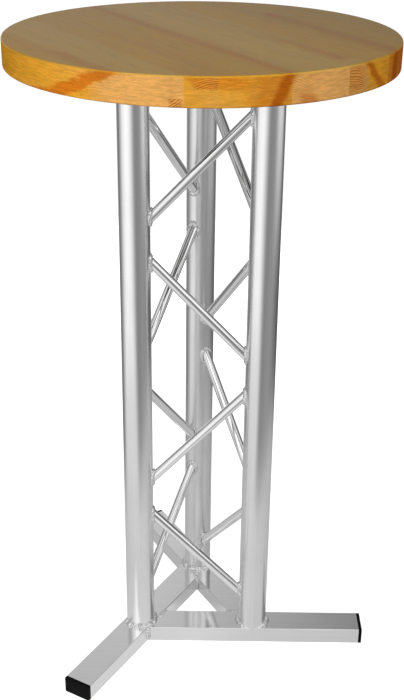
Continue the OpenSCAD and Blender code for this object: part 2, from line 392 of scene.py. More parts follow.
def floorMaterial():
    # white to the camera with the table's shadow kept; metal sees the near floor and the cards beyond it
    material, tree, output = newMaterial("pale floor")
    path = addNode(tree, "ShaderNodeLightPath").outputs
    place = objectPlace(tree)
    x, y = addNode(tree, "ShaderNodeSeparateXYZ", {0: place}).outputs[:2]
    radius = addNode(tree, "ShaderNodeVectorMath", {0: place}, operation="LENGTH").outputs["Value"]
    bounce, shadow = (addNode(tree, "ShaderNodeBsdfDiffuse", {"Color": (level, level, level, 1)}).outputs[0]
                      for level in (studio["floorBounce"], studio["floorShadow"]))
    lift, shine = (addNode(tree, "ShaderNodeEmission", {"Color": (1, 1, 1, 1), "Strength": level}).outputs[0]
                   for level in (studio["floorLift"], floorShine(tree, x, y, radius)))
    seen = addNode(tree, "ShaderNodeAddShader", {0: shadow, 1: lift}).outputs[0]
    other = addNode(tree, "ShaderNodeMixShader", {0: mirrorRay(tree, path), 1: bounce, 2: shine}).outputs[0]
    both = addNode(tree, "ShaderNodeMixShader", {0: path["Is Camera Ray"], 1: other, 2: seen}).outputs[0]
    tree.links.new(both, output.inputs["Surface"])
    return material


def buildFloor():
    # one level square at z = 0
    mesh = bpy.data.meshes.new("floor")
    half = studio["floorHalf"]
    corners = [(-half, -half, 0), (half, -half, 0), (half, half, 0), (-half, half, 0)]
    mesh.from_pydata(corners, [], [(0, 1, 2, 3)])
    mesh.materials.append(floorMaterial())
    floor = bpy.data.objects.new("floor", mesh)
    bpy.context.scene.collection.objects.link(floor)


def addLamp(look):
    # a soft box on a circle round the table, facing the middle of the truss
    bearing = math.radians(look["bearing"])
    place = (math.sin(bearing) * look["distance"], -math.cos(bearing) * look["distance"], look["height"])
    data = bpy.data.lights.new(look["name"], "AREA")
    data.shape = "RECTANGLE"
    data.size, data.size_y = look["size"]
    data.energy = look["watts"]
    lamp = bpy.data.objects.new(look["name"], data)
    lamp.matrix_world = (Matrix.Translation(place) @ Matrix.Rotation(bearing, 4, "Z")
                         @ Matrix.Rotation(math.radians(90), 4, "X"))
    lamp.visible_glossy = False
    lamp.visible_camera = False
    bpy.context.scene.collection.objects.link(lamp)


buildWorld()
buildFloor()
for lampLook in studio["lamps"]:
    addLamp(lampLook)
bpy.context.scene.view_settings.view_transform = "Standard"
print("pub table: studio built")

# Drawn metal: noise is (scale, detail, roughness, distortion), and the two kinds of line take their scale
# as so many times the finish's own
drawnLook = {
    "stretch": 0.006,                # the lines' scale along the tube
    "fineTimes": 2.4, "fine": (2.0, 0.6),
    "wideTimes": 0.5, "wide": (3.0, 0.6),
    "cloud": (9.0, 3.0, 0.55, 0.6),
    "lineShare": 0.6, "cloudShare": 0.4,
    "colourStops": (0.36, 0.62),
    "roughStops": (0.34, 0.66),
    "depth": 0.0004,
}


def drawnMetal(name, look, grain=None, turn=0.0):
    # lines along the tube: noise squeezed across it and drawn out along it
    material, tree, output = newMaterial(name)
    if grain is None:
        place = placed(tree, objectPlace(tree), turn=(0, math.radians(90), turn))
    else:
        place = addNode(tree, "ShaderNodeAttribute", attribute_name=grain).outputs["Vector"]
    stretched = placed(tree, place, scale=(1, 1, drawnLook["stretch"]))
    fine = noise(tree, stretched, look["line"] * drawnLook["fineTimes"], *drawnLook["fine"])
    wide = noise(tree, stretched, look["line"] * drawnLook["wideTimes"], *drawnLook["wide"])
    cloud = noise(tree, place, *drawnLook["cloud"])
    lines = calc(tree, "MULTIPLY_ADD", fine, 0.5, calc(tree, "MULTIPLY", wide, 0.5))
    tone = calc(tree, "ADD", calc(tree, "MULTIPLY", lines, drawnLook["lineShare"]),
                calc(tree, "MULTIPLY", cloud, drawnLook["cloudShare"]))
    darker = tuple(c * (1 - look["shade"]) for c in look["colour"])
    colour = ramp(tree, tone, list(zip(drawnLook["colourStops"], (darker, look["colour"]))))
    rough = smooth(tree, tone, *drawnLook["roughStops"], look["rough"][1], look["rough"][0])
    finishSurface(tree, output, {**drawnLook, **look}, lines,
                  {"Base Color": colour, "Metallic": 1.0, "Roughness": rough})
    return material


# Posts
postLook = {
    "around": 128, "rows": 60,
    "grainStep": 0.3,                # keeps the lines of one post from repeating on the next
    "bright": {"colour": (0.90, 0.90, 0.90), "shade": 0.07, "rough": (0.19, 0.28), "line": 520, "bump": 0.02},
    "dull": {"colour": (0.89, 0.89, 0.89), "shade": 0.09, "rough": (0.30, 0.40), "line": 520, "bump": 0.03},
}


def tubeGrid(around, rows, lengthAt, outer, inner):
    # point (phi, k) = axis * s(phi, k) + rho (cos phi, sin phi): out along the outer wall, and back
    # along the inner
    phi = np.linspace(0, 2 * math.pi, around, endpoint=False)[:, None]
    k = np.linspace(0, 1, rows)[None, :]
    walls = []
    for rho, share in ((outer, k), (inner, k[:, ::-1])):
        low, high = lengthAt(phi, rho)
        walls.append(np.stack(np.broadcast_arrays(rho * np.cos(phi), rho * np.sin(phi),
                                                  low + (high - low) * share), axis=-1))
    return np.concatenate(walls, axis=1)


def buildPost(name, face, metal, look):
    # an upright tube with square ends, s from 0 to its length
    length = plateBottom - baseTop
    outer = truss["postRadius"]
    local = tubeGrid(look["around"], look["rows"], lambda phi, rho: (0 * phi, 0 * phi + length),
                     outer, outer - truss["postWall"])
    grid = turnPoints(local + np.array([rightX, frontY, baseTop]), face * thirdTurn)
    grain = local + np.array([look["grainStep"] * face, 0, 0])
    shellPiece("post_tube_" + name, [grid], True, metal, name + "_post", grain=[grain])


postMetal = drawnMetal("drawn aluminium posts", postLook["bright"], "grain")
rearMetal = drawnMetal("dull drawn aluminium rear post", postLook["dull"], "grain")
buildPost("right", 0, postMetal, postLook)
buildPost("rear", 1, rearMetal, postLook)
buildPost("left", 2, postMetal, postLook)
print("pub table: posts drawn")

# Braces
braceLook = {
    "around": 72, "rows": 12,
    "grainStep": 0.1,
    "metal": {"colour": (0.95, 0.95, 0.95), "shade": 0.06, "rough": (0.015, 0.045), "line": 900,
              "bump": 0.006},
}


def braceLine(i):
    # brace i of a face runs from its low end on one post's axis to its high end on the other's
    lean = 1 if i % 2 == 1 else -1
    low = baseTop + truss["braceFootGap"] + (truss["braceCount"] - i) * (braceRise + truss["braceGap"])
    start = np.array([lean * leftX, frontY, low])
    end = np.array([lean * rightX, frontY, low + braceRise])
    return start, end


def braceFrame(i):
    # axis d, square-on direction n in the face's plane, and y towards the inside of the truss
    start, end = braceLine(i)
    length = np.linalg.norm(end - start)
    d = (end - start) / length
    return start, length, d, np.array([-d[2], 0, d[0]]), np.array([0, 1, 0])


def cutByPosts(d, length):
    # rho (cos phi n + sin phi y) + s d meets the post of radius R at
    # s = (+-sqrt(R^2 - rho^2 sin^2 phi) + rho cos phi dz) / dx
    def ends(phi, rho):
        root = np.sqrt(truss["postRadius"] ** 2 - (rho * np.sin(phi)) ** 2) * math.copysign(1, d[0])
        tilt = rho * np.cos(phi) * d[2]
        return (root + tilt) / d[0], length + (tilt - root) / d[0]
    return ends


def buildBrace(face, i, look):
    # start + x n + y y + s d for the tube's own x, y and s, with both ends cut round by the posts
    start, length, d, n, y = braceFrame(i)
    local = tubeGrid(look["around"], look["rows"], cutByPosts(d, length),
                     truss["braceRadius"], truss["braceRadius"] - truss["braceWall"])
    grid = start + local[..., :1] * n + local[..., 1:2] * y + local[..., 2:] * d
    grain = local + np.array([look["grainStep"] * face, look["grainStep"] * i, 0])
    name = faceNames[face] + "_brace_" + str(i)
    shellPiece("tube_" + name, [turnPoints(grid, face * thirdTurn)], True, braceMetal, name,
               grain=[grain])


braceMetal = drawnMetal("bright drawn aluminium braces", braceLook["metal"], "grain")
for braceFace in range(3):
    for braceNumber in range(1, truss["braceCount"] + 1):
        buildBrace(braceFace, braceNumber, braceLook)
print("pub table: braces cut to the posts")

# Weld beads
weldLook = {
    "brace": {"leg": 0.0042, "crown": 0.0013, "ripple": 0.14, "pitch": 0.0034, "uneven": 0.26,
              "points": 90, "sink": 0.0002},
    "foot": {"leg": 0.0058, "crown": 0.0018, "ripple": 0.09, "pitch": 0.0046, "uneven": 0.42,
             "arc": (-55, 235, 150)},      # first and last degree round the post, and points
    "plate": {"leg": 0.0058, "crown": 0.0014, "ripple": 0.12, "pitch": 0.0042, "uneven": 0.25,
              "arc": (0, 360, 160)},
    "corner": {"leg": 0.0048, "crown": 0.0017, "ripple": 0.12, "pitch": 0.0036, "uneven": 0.22,
               "overFloor": 0.0024, "underTop": 0.0002, "points": 30},
    "seam": {"leg": 0.0040, "crown": 0.0012, "ripple": 0.16, "pitch": 0.0036, "uneven": 0.22,
             "start": -0.003, "postGap": 0.006, "side": 0.004, "points": 40},
    "section": {"points": 9, "bury": 0.0008},
    "ripples": {"bow": 0.9, "power": 0.7, "mean": 0.6, "crownTimes": 2.2},
    "swells": {"waves": (2, 3, 5, 8, 13), "least": 0.4, "calm": 3, "legShare": 0.6},
    "taper": {"power": 12, "least": 0.02},
    "sharp": 50,
    "finish": {
        "coarse": (260.0, 3.0, 0.6, 0.4), "coarseShare": 0.7,
        "fine": (1500.0, 2.0, 0.6), "fineShare": 0.3,
        "colours": [(0.36, (0.34, 0.34, 0.345)), (0.46, (0.80, 0.80, 0.805)), (0.62, (0.95, 0.95, 0.95))],
        "rough": (0.35, 0.65, 0.36, 0.16),
        "metallic": 0.66, "bump": 0.35, "depth": 0.0006,
    },
}
weldRandom = np.random.default_rng(11)


def weldMetal(look):
    # bright beads with dull pits, by two sizes of noise
    material, tree, output = newMaterial("weld bead aluminium")
    coarse = noise(tree, objectPlace(tree), *look["coarse"])
    fine = noise(tree, objectPlace(tree), *look["fine"])
    tone = calc(tree, "ADD", calc(tree, "MULTIPLY", coarse, look["coarseShare"]),
                calc(tree, "MULTIPLY", fine, look["fineShare"]))
    finishSurface(tree, output, look, tone,
                  {"Base Color": ramp(tree, tone, look["colours"]), "Metallic": look["metallic"],
                   "Roughness": smooth(tree, coarse, *look["rough"])})
    return material


def bead(root, sideA, sideB, look, crownWay=None, closed=True):
    # point = root + leg ((1-t) A + t B) + 4 t (1-t) crown W, with t across the bead, and leg and crown
    # rippled along it
    section, ripples, swells, taper = (weldLook[key] for key in ("section", "ripples", "swells", "taper"))
    step = np.linalg.norm(np.roll(root, -1, axis=0) - root, axis=1)
    along = np.concatenate([[0], np.cumsum(step)[:-1]])
    whole = along[-1] + (step[-1] if closed else 0)
    share = along / whole
    turns = max(1, round(whole / look["pitch"]))
    t = np.linspace(0, 1, section["points"])[None, :]
    swirl = share[:, None] * turns + ripples["bow"] * (t - 0.5) ** 2 + weldRandom.uniform(0, 1)
    scallop = np.abs(np.sin(math.pi * swirl)) ** ripples["power"] - ripples["mean"]
    swell = sum(weldRandom.uniform(swells["least"], 1)
                * np.sin(2 * math.pi * (share * wave + weldRandom.uniform(0, 1)))
                for wave in swells["waves"])[:, None] / swells["calm"]
    size = 1 + look["ripple"] * scallop + look["uneven"] * swell * swells["legShare"]
    lift = 1 + ripples["crownTimes"] * look["ripple"] * scallop + look["uneven"] * swell
    if not closed:   # both ends of an open bead taper into the joint
        ends = np.clip(1 - np.abs(2 * share - 1) ** taper["power"], taper["least"], 1)
        ends = np.sqrt(ends)[:, None]
        size, lift = size * ends, lift * ends
    if crownWay is None:
        crownWay = sideA + sideB
        crownWay = crownWay / np.linalg.norm(crownWay, axis=-1, keepdims=True)
    a, b, w, r = (np.broadcast_to(v, root.shape)[:, None, :] for v in (sideA, sideB, crownWay, root))
    t3 = t[..., None]
    skin = (r + look["leg"] * size[..., None] * ((1 - t3) * a + t3 * b)
            + (4 * t3 * (1 - t3) * look["crown"]) * lift[..., None] * w)
    buried = r - section["bury"] * w
    return np.concatenate([skin, buried], axis=1)


def braceEndBead(face, i, atStart, look):
    # root on the curve where brace and post meet; the sides run along the post and along the brace
    start, length, d, n, y = braceFrame(i)
    phi = np.linspace(0, 2 * math.pi, look["points"], endpoint=False)[:, None]
    s = cutByPosts(d, length)(phi, truss["braceRadius"])[0 if atStart else 1]
    radial = np.cos(phi) * n + np.sin(phi) * y
    root = start + s * d + truss["braceRadius"] * radial
    axis = start if atStart else start + length * d
    postOut = (root - axis) * np.array([1, 1, 0])
    postOut /= np.linalg.norm(postOut, axis=1, keepdims=True)
    tangent = np.roll(root, -1, axis=0) - np.roll(root, 1, axis=0)
    tangent /= np.linalg.norm(tangent, axis=1, keepdims=True)
    onPost = np.cross(postOut, tangent)
    onPost *= np.sign(np.sum(onPost * radial, axis=1, keepdims=True))
    onBrace = np.cross(radial, tangent)
    onBrace *= np.sign(np.sum(onBrace * (d if atStart else -d), axis=1, keepdims=True))
    grid = bead(root, onPost, onBrace, look)
    # the toe on the post follows the post's round, a hair under it
    toe = grid[:, 0] - axis
    reach = np.linalg.norm(toe[:, :2], axis=1, keepdims=True)
    grid[:, 0, :2] = axis[:2] + toe[:, :2] * (truss["postRadius"] - look["sink"]) / reach
    return turnPoints(grid, face * thirdTurn)


def ringBead(face, height, upwards, look):
    # root on the post's circle; the sides run out along the flat part and along the post
    low, high, points = look["arc"]
    closed = high - low >= 360
    angle = np.radians(np.linspace(low, high, points, endpoint=not closed))
    out = np.stack([np.cos(angle), np.sin(angle), 0 * angle], axis=1)
    root = truss["postRadius"] * out + np.array([rightX, frontY, height])
    grid = bead(root, out, np.array([[0, 0, upwards]]), look, closed=closed)
    return turnPoints(grid, face * thirdTurn)


# A mitre's outer and inner corner on the front tube, and the way that its neighbour runs from there
halfTube = truss["tubeWidth"] / 2
mitre = math.radians(60)
outerX = leftX + halfTube * (1 - math.cos(mitre)) / math.sin(mitre)
innerX = leftX + halfTube * (1 + math.cos(mitre)) / math.sin(mitre)
awayTube = np.array([[math.cos(2 * thirdTurn), math.sin(2 * thirdTurn), 0]])


def cornerBead(face, x, y, sideB, look):
    # upright bead: root on the corner's vertical line
    z = np.linspace(look["overFloor"], baseTop - look["underTop"], look["points"])
    root = np.stack([0 * z + x, 0 * z + y, z], axis=1)
    return turnPoints(bead(root, np.array([[1.0, 0, 0]]), sideB, look, closed=False), face * thirdTurn)


def seamBead(face, look):
    # flat bead on the mitre's line: from over the inner corner to the bead round the post's foot
    clear = truss["postRadius"] + look["postGap"]
    reach = halfTube * math.tan(mitre) - math.sqrt(clear ** 2 - (halfTube - look["side"]) ** 2)
    s = np.linspace(look["start"], reach, look["points"])[:, None]
    root = np.array([[innerX, frontY + halfTube, baseTop]]) + s * awayTube
    side = np.array([[-awayTube[0, 1], awayTube[0, 0], 0]])
    grid = bead(root, side, -side, look, np.array([[0, 0, 1.0]]), closed=False)
    return turnPoints(grid, face * thirdTurn)


def layBeads(kind, grids, closed):
    # the beads of one kind as one piece, in place of their node
    shellPiece(kind + "_weld_beads", grids, closed, beadMetal, kind + "_welds",
               sharp=weldLook["sharp"])


beadMetal = weldMetal(weldLook["finish"])
layBeads("brace", [braceEndBead(f, i, atStart, weldLook["brace"]) for f in range(3)
                   for i in range(1, truss["braceCount"] + 1) for atStart in (True, False)], True)
layBeads("foot", [ringBead(f, baseTop, 1, weldLook["foot"]) for f in range(3)], False)
layBeads("plate", [ringBead(f, plateBottom, -1, weldLook["plate"]) for f in range(3)], True)
layBeads("corner", [grid for f in range(3) for grid in (
    cornerBead(f, outerX, frontY - halfTube, awayTube, weldLook["corner"]),
    cornerBead(f, innerX, frontY + halfTube, -awayTube, weldLook["corner"]))], False)
layBeads("seam", [seamBead(f, weldLook["seam"]) for f in range(3)], False)
print("pub table: welds laid")

# Base tubes keep their CAD shape
baseLook = {"colour": (0.92, 0.92, 0.92), "shade": 0.07, "rough": (0.06, 0.12), "line": 420, "bump": 0.012}

for tubeFace, tubeName in enumerate(("front", "rear", "left")):
    tubeMetal = drawnMetal(tubeName + " base tube aluminium", baseLook, turn=-tubeFace * thirdTurn)
    dressNode(tubeName + "_base_tube", tubeMetal)
print("pub table: base dressed")

# End plugs: a pillowed cap over the tube's end and a ribbed hollow sleeve inside it
plugLook = {
    "cap": 0.006, "edge": 0.0005, "edgeSteps": 7, "pillow": 0.0002, "pillowShares": (0.15, 1, 6),
    "corner": 0.0015, "cornerLeast": 0.0001, "cornerSteps": 7,
    "depth": 0.024, "sleeveInset": 0.0036, "wall": 0.002, "sleeveRound": 0.0006,
    "mouth": 0.0005, "lip": 0.0002, "middle": 0.0006,
    "ribs": 3, "ribWidth": 0.0015, "ribHeight": 0.0004, "ribSlope": 0.0004,
    "colour": (0.0035, 0.0035, 0.0037), "darkShare": 0.7,
    "grain": (1800.0, 2.0, 0.6), "cloud": (60.0, 2.0, 0.5), "cloudStops": (0.3, 0.7),
    "rough": (0.36, 0.48), "specular": 0.06, "skin": {"bump": 0.25, "depth": 0.0002},
}


def plugPlastic(look):
    # satin moulded plastic with a fine spark-eroded grain
    material, tree, output = newMaterial("satin black plastic")
    grain = noise(tree, objectPlace(tree), *look["grain"])
    cloud = noise(tree, objectPlace(tree), *look["cloud"])
    darker = tuple(c * look["darkShare"] for c in look["colour"])
    colour = ramp(tree, cloud, list(zip(look["cloudStops"], (darker, look["colour"]))))
    rough = smooth(tree, cloud, *look["cloudStops"], *look["rough"])
    finishSurface(tree, output, look["skin"], grain,
                  {"Base Color": colour, "Roughness": rough, "Specular IOR Level": look["specular"]})
    return material


def roundedLoop(halfWidth, halfHeight, inset, look):
    # corner point + r (cos t, sin t), with r the corner's radius less the inset, and never quite nothing
    quarter = np.linspace(0, math.pi / 2, look["cornerSteps"])
    radius = max(look["corner"] - inset, look["cornerLeast"])
    points = []
    for turn, (sx, sy) in enumerate(((1, 1), (-1, 1), (-1, -1), (1, -1))):
        angle = quarter + turn * math.pi / 2
        points.append(np.stack([sx * (halfWidth - inset - radius) + radius * np.cos(angle),
                                sy * (halfHeight - inset - radius) + radius * np.sin(angle)], axis=1))
    return np.concatenate(points)


def plugProfile(look, halfHeight):
    # (distance out of the tube, inset from the tube's outline), from inside the sleeve round to the
    # middle of the cap
    middle = halfHeight - look["middle"]
    sleeve = look["sleeveInset"]
    inner = sleeve + look["wall"]
    depth, mouth = look["depth"], look["mouth"]
    outline = [(0.0, middle), (0.0, inner + mouth), (-mouth, inner), (-depth, inner),
               (-depth, sleeve + look["sleeveRound"]), (look["sleeveRound"] - depth, sleeve)]
    step = depth / (look["ribs"] + 1)
    for rib in range(look["ribs"], 0, -1):
        back, front = -rib * step - look["ribWidth"] / 2, -rib * step + look["ribWidth"] / 2
        outline += [(back - look["ribSlope"], sleeve), (back, sleeve - look["ribHeight"]),
                    (front, sleeve - look["ribHeight"]), (front + look["ribSlope"], sleeve)]
    outline += [(0.0, sleeve), (0.0, look["lip"]), (look["lip"], 0.0)]
    shoulder = look["cap"] - look["pillow"]
    for t in np.linspace(0, math.pi / 2, look["edgeSteps"]):
        outline.append((shoulder - look["edge"] * (1 - math.sin(t)), look["edge"] * (1 - math.cos(t))))
    for share in np.linspace(*look["pillowShares"]):
        outline.append((shoulder + look["pillow"] * (1 - (1 - share) ** 2),
                        look["edge"] + share * (middle - look["edge"])))
    return outline


def buildPlug(name, face, look):
    # the profile carried round the tube's outline: one loop for each of its points
    halfHeight = baseTop / 2
    rows = []
    for out, inset in plugProfile(look, halfHeight):
        loop = roundedLoop(halfTube, halfHeight, inset, look)
        rows.append(np.concatenate([np.full((len(loop), 1), out), loop], axis=1))
    grid = np.stack(rows) + np.array([rightX + truss["footReach"], frontY, halfHeight])
    shellPiece("moulded_plug_" + name, [turnPoints(grid, face * thirdTurn)], False, blackPlastic,
               name + "_end_plug")


blackPlastic = plugPlastic(plugLook)
for plugFace, plugName in enumerate(("right", "rear", "left")):
    buildPlug(plugName, plugFace, plugLook)
print("pub table: plugs moulded")

# Plate and screws under the top keep their CAD shape
plateLook = {"colour": (0.74, 0.745, 0.75), "shade": 0.10, "rough": (0.28, 0.45), "line": 300, "bump": 0.06}
screwLook = {
    "colour": (0.80, 0.66, 0.34), "dull": (0.55, 0.50, 0.42), "colourStops": (0.35, 0.6),
    "cloud": (180.0, 3.0, 0.6, 0.5), "rough": (0.3, 0.7, 0.42, 0.22), "bump": 0.15, "depth": 0.0003,
}


def screwZinc(look):
    # yellow zinc plating that shades into grey in clouds
    material, tree, output = newMaterial("yellow zinc plating")
    cloud = noise(tree, objectPlace(tree), *look["cloud"])
    colour = ramp(tree, cloud, list(zip(look["colourStops"], (look["dull"], look["colour"]))))
    finishSurface(tree, output, look, cloud,
                  {"Base Color": colour, "Metallic": 1.0, "Roughness": smooth(tree, cloud, *look["rough"])})
    return material


dressNode("top_plate", drawnMetal("brushed aluminium plate", plateLook))
dressNode("top_screws", screwZinc(screwLook))
print("pub table: plate and screws dressed")

# Pine top: each stave is cut from its own log
pineLook = {
    "turn": 58,                        # the staves run at -58 degrees from +X
    "early": (0.80, 0.42, 0.13),
    "late": (0.50, 0.18, 0.022),
    "gold": (0.76, 0.35, 0.027),
    "heart": (0.66, 0.18, 0.010),
    "faceHeart": (0.68, 0.235, 0.0),   # the same streaks on the upper face
    "dark": (0.34, 0.070, 0.003),
    "paintedFaceSheen": (0.97, 1.11, 0.60),    # painted sheen: the upper face is tinted a little towards green, standing in for the lacquer's reflection
    "paintedMirrorShade": (0.17, 0.14, 0.10),    # painted reflection: what metal shows of the wood, a dull dark colour in place of its own, standing in for the shade under the top
    "faceEdge": (0.003, 0.0008),       # how far under the top the upper face's look starts and is full
    # noise as its stretch (along the stave, across it, upwards), scale, detail, roughness and distortion
    "ownStep": (0.37, 0.83, 0.59),     # the next stave is cut this much further on
    "bend": ((1.6, 7, 7), 1.0, 2.0),
    "sink": ((1.3, 5, 9), 1.7, 2.0),
    "ripple": ((14, 90, 90), 1.0, 2.0),
    "cloud": ((3, 14, 14), 1.0, 3.0, 0.55),
    "fibre": ((14, 900, 900), 1.0, 3.0, 0.65),
    "pores": ((55, 1300, 1300), 1.0, 1.0),
    "flame": ((30, 70, 420), 1.0, 2.0, 0.6, 0.8),
    "flameTurn": -50,
    # rings: their width, how far noise moves them, their profile, and their share on the upper face
    "ringWidth": 0.0026,
    "ringBend": 0.035, "ringSink": 0.030, "ringRipple": 0.0016,
    "ringStops": [(0.0, 0.10), (0.45, 0.16), (0.80, 0.72), (0.92, 1.0), (1.0, 0.10)],
    "yearScale": 55.0, "yearShift": 2.2, "yearContrast": (0.7, 0.45),
    "faceRings": 0.4,
    # the part of something that is left where it has faded
    "ringsLeft": 0.25, "goldLeft": 0.2,
    # shades: noise from and to, and the shade there
    "goldCloud": (0.30, 0.62, 0.65, 1.0),
    "fibreShade": (0.25, 0.75, 0.90, 1.06),
    "cloudShade": (0.25, 0.75, 0.95, 1.04),
    "flameShade": (0.35, 0.68, 0.87, 1.13),   # soft flames that rise across the end grain
    "poreStops": (0.66, 0.74), "poreShade": -0.16,
    "lineStops": (0.12, 0.55),         # a streak along the rings keeps to their late wood
    # streaks: how far noise moves their edge, how it softens on the face, and how their ends fade
    "streakRipple": 0.007, "streakBend": 0.012,
    "softDepth": (0.004, 0.001), "softMore": 0.005,
    "firstFade": 0.02, "lastFade": 0.006, "depthFadeShare": 0.8,
    # surface
    "rough": (0.3, 0.7, 0.27, 0.35), "sideRough": 0.62,
    "sideGloss": 0.03, "gloss": 0.5, "index": 1.36,
    "fibreHeight": 0.6, "ringHeight": 0.4, "poreHeight": -0.5,
    "bump": 0.10, "depth": 0.0004,
}
# Each stave: where its pith lies (v, depth under the upper face) and how it drifts along the stave, its share
# of gold and where that fades across it, its rings and where they fade, its tone and its streaks.
# A streak: v at mid-length, drift along u, slant and flare down through the board, half width and its growth
# along u, first and last u, least and most depth, softness and raggedness of its edge, strength, rings,
# darkness, its share on the upper face, and how far it keeps to the late wood of the rings
staves = {
    1: {"pith": (-0.330, 0.060), "drift": (0.03, -0.02), "gold": 1.0, "pale": (-0.268, -0.246),
        "rings": 0.30, "tones": (-0.283, -0.245, 1.24, 1.09),
        "streaks": [{"v": -0.260, "drift": 0.06, "slant": 0.85, "half": 0.0095, "flare": 0.10,
                     "first": 0.02, "strength": 0.9, "soft": 0.0022, "ragged": 2.4, "face": 0.85},
                    {"v": -0.262, "drift": 0.06, "half": 0.012, "last": 0.02, "depth": 0.003,
                     "strength": 0.5, "soft": 0.006}]},
    2: {"pith": (-0.134, 0.115), "drift": (0.02, 0.05), "gold": 0.9, "pale": (-0.1755, -0.1770),
        "rings": 0.28, "tones": (-0.215, -0.190, 1.10, 0.96),
        "streaks": [{"v": -0.1575, "half": 0.0205, "slant": -0.35, "flare": 0.45, "first": 0.18,
                     "depth": 0.017, "strength": 0.95, "soft": 0.003, "rings": 1.3, "lines": 0.60},
                    {"v": -0.1855, "half": 0.0068, "first": 0.18, "above": 0.030, "depth": 0.041,
                     "strength": 1.0, "soft": 0.001, "rings": 1.4, "lines": 0.80}]},
    3: {"pith": (-0.110, 0.120), "drift": (-0.03, 0.04), "gold": 0.95, "rings": 0.30,
        "tones": (-0.115, -0.075, 0.97, 0.88),
        "streaks": [{"v": -0.074, "half": 0.024, "first": 0.20, "strength": 0.55, "soft": 0.014,
                     "dark": 0.1, "face": 0},
                    {"v": -0.124, "drift": -0.01, "half": 0.013, "slant": -0.30, "growth": 0.02,
                     "first": -0.10, "depth": 0.018, "strength": 0.55, "soft": 0.008, "rings": 0.8},
                    {"v": -0.0425, "drift": -0.018, "slant": 0.42, "half": 0.0085, "strength": 0.95,
                     "dark": 0.45, "face": 1.0}]},
    4: {"pith": (-0.072, 0.110), "drift": (0.01, 0.03), "gold": 0.05, "rings": 1.0, "fade": (-0.022, 0.004),
        "tone": 0.95,
        "streaks": [{"v": -0.0425, "drift": -0.018, "slant": 0.42, "half": 0.0085, "strength": 0.90,
                     "dark": 0.35, "face": 1.0},
                    {"v": -0.037, "half": 0.011, "slant": -0.5, "first": 0.24, "above": 0.029,
                     "strength": 1.0, "soft": 0.004, "rings": 1.2, "lines": 0.75}]},
    5: {"pith": (0.042, 0.116), "drift": (-0.02, 0.02), "gold": 1.0, "pale": (0.098, 0.080), "rings": 1.0,
        "fade": (0.080, 0.100), "tones": (0.100, 0.120, 0.92, 1.04),
        "streaks": [{"v": 0.071, "drift": 0.01, "half": 0.001, "growth": 0.05, "first": 0.06, "last": 0.256,
                     "depth": 0.012, "strength": 0.9, "soft": 0.005, "face": 1.0},
                    {"v": 0.060, "half": 0.020, "first": 0.262, "above": 0.004, "depth": 0.034,
                     "strength": 0.80, "soft": 0.006, "rings": 1.1, "lines": 0.80},
                    {"v": 0.132, "half": 0.016, "first": 0.20, "strength": 0.20, "soft": 0.012},
                    {"v": 0.088, "slant": -1.00, "half": 0.0068, "flare": -0.05, "first": 0.262,
                     "strength": 0.85, "dark": 0.35}]},
    6: {"pith": (0.200, -0.080), "drift": (0.03, 0.03), "gold": 1.0, "rings": 0.35, "faceTone": 0.90,
        "streaks": [{"v": 0.152, "half": 0.026, "first": 0.20, "strength": 0.62, "soft": 0.010,
                     "face": 0.2},
                    {"v": 0.221, "half": 0.040, "first": 0.02, "strength": 0.95, "soft": 0.008,
                     "dark": 0.12, "face": 0},
                    {"v": 0.1805, "drift": -0.040, "half": 0.0110, "first": -0.10, "strength": 0.95,
                     "dark": 0.5, "face": 0.85}]},
    7: {"pith": (0.300, 0.100), "drift": (-0.02, 0.03), "gold": 0.6, "rings": 0.45, "tone": 0.88,
        "faceTone": 0.82, "streaks": []},
}
staveDefaults = {"pale": None, "fade": None, "tone": 1.0, "tones": None, "faceTone": 1.0}
streakDefaults = {"drift": 0.0, "slant": 0.0, "flare": 0.0, "growth": 0.0, "first": -0.40, "last": 0.40,
                  "above": -0.01, "depth": 0.10, "soft": 0.0035, "ragged": 1.0, "rings": 0.5,
                  "dark": 0.0, "face": 0.5, "lines": 0.0}


def woodNoise(tree, own, kind, look, turn=(0, 0, 0)):
    # noise on the stave's own coordinates, stretched as the look says
    stretch, *rest = look[kind]
    return noise(tree, placed(tree, own, turn=turn, scale=stretch), *rest)


def wander(tree, own, kind, look):
    # the same, from about -0.5 to 0.5
    return calc(tree, "SUBTRACT", woodNoise(tree, own, kind, look), 0.5)


